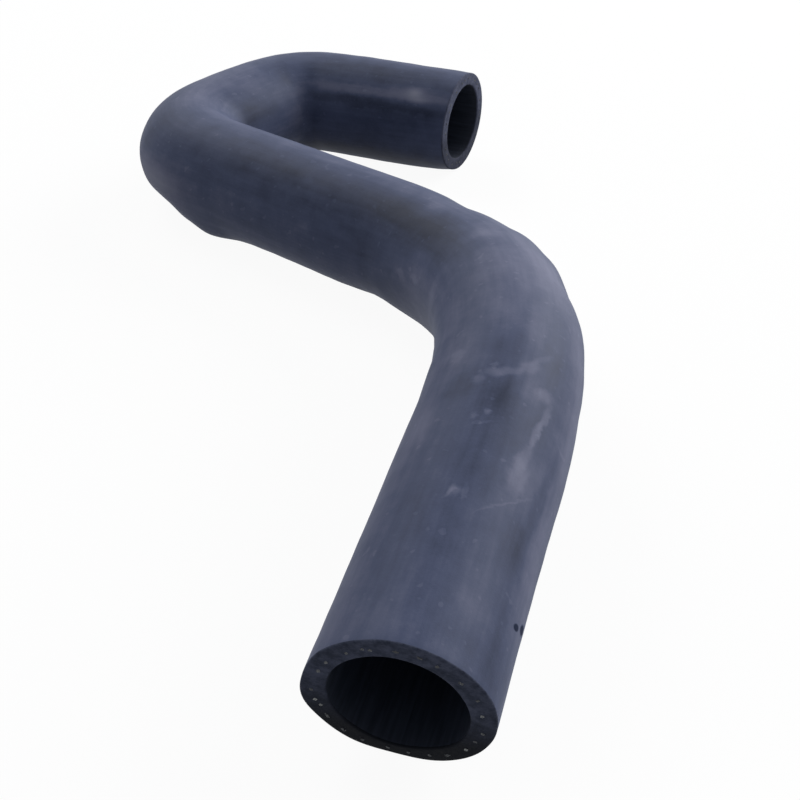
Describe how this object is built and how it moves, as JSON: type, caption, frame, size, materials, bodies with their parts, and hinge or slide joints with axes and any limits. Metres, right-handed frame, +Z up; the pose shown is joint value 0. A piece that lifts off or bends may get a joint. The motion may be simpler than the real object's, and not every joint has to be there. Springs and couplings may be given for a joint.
{
  "type": "moulded hydraulic hose",
  "caption": "Thick-walled black rubber hose moulded in a flat S with a tight return bend and open, plainly cut ends, made to push over round spigots.",
  "frame": {"origin": "middle of the hose's footprint, on the surface that it lies on", "axes": "+Z up from the surface; +Y from the near mouth along the hose's first straight; +X to the side that the far mouth faces"},
  "size_m": [0.2124, 0.3554, 0.0565],
  "materials": {
    "rubber": "matte black rubber with a pale blue-grey bloom"
  },
  "bodies": {
    "root": {"hose": "rubber"}
  },
  "joints": []
}
